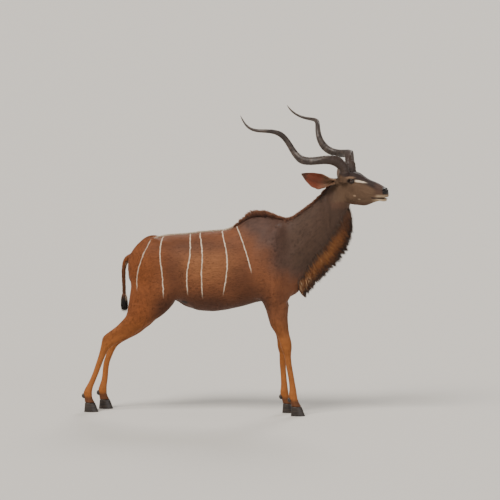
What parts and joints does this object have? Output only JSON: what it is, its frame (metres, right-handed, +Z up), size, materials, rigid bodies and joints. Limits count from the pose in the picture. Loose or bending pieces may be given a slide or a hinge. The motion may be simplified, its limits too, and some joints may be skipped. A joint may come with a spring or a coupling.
{
  "type": "greater kudu",
  "caption": "Life-size standing greater kudu bull with raised head, long spiral horns laid back, shoulder hump, throat mane, nape crest and cloven hooves",
  "frame": {"origin": "on the floor under the middle of the bounding box", "axes": "animal faces +X, its left side is +Y, up is +Z"},
  "size_m": [2.1351, 0.7419, 2.1439],
  "materials": {
    "coat_body": "matt short fur, red-brown going grey at the shoulder, thin white stripes",
    "coat_neck": "matt grey-brown fur with a long throat mane and a nape crest",
    "coat_head": "matt grey-brown fur, dark forehead, white lips and chevron",
    "coat_ear": "matt fur, reddish inside, dark rim",
    "coat_tail": "matt fur, black tuft",
    "coat_leg": "matt tan fur",
    "horn": "dark keratin with a soft sheen",
    "hoof": "black keratin",
    "eye": "dark wet glassy eye"
  },
  "bodies": {
    "root": {"torso": "coat_body", "neck": "coat_neck", "head": "coat_head", "tail": "coat_tail", "horn_right": "horn", "horn_left": "horn", "eye_right": "eye", "eye_left": "eye", "ear_right": "coat_ear", "ear_left": "coat_ear", "fore_right_forearm": "coat_leg", "fore_right_cannon": "coat_leg", "fore_right_hoof_inner": "hoof", "fore_right_hoof_outer": "hoof", "fore_right_dewclaw_inner": "hoof", "fore_right_dewclaw_outer": "hoof", "fore_left_forearm": "coat_leg", "fore_left_cannon": "coat_leg", "fore_left_hoof_inner": "hoof", "fore_left_hoof_outer": "hoof", "fore_left_dewclaw_inner": "hoof", "fore_left_dewclaw_outer": "hoof", "hind_right_gaskin": "coat_leg", "hind_right_cannon": "coat_leg", "hind_right_hoof_inner": "hoof", "hind_right_hoof_outer": "hoof", "hind_right_dewclaw_inner": "hoof", "hind_right_dewclaw_outer": "hoof", "hind_left_gaskin": "coat_leg", "hind_left_cannon": "coat_leg", "hind_left_hoof_inner": "hoof", "hind_left_hoof_outer": "hoof", "hind_left_dewclaw_inner": "hoof", "hind_left_dewclaw_outer": "hoof"}
  },
  "joints": []
}
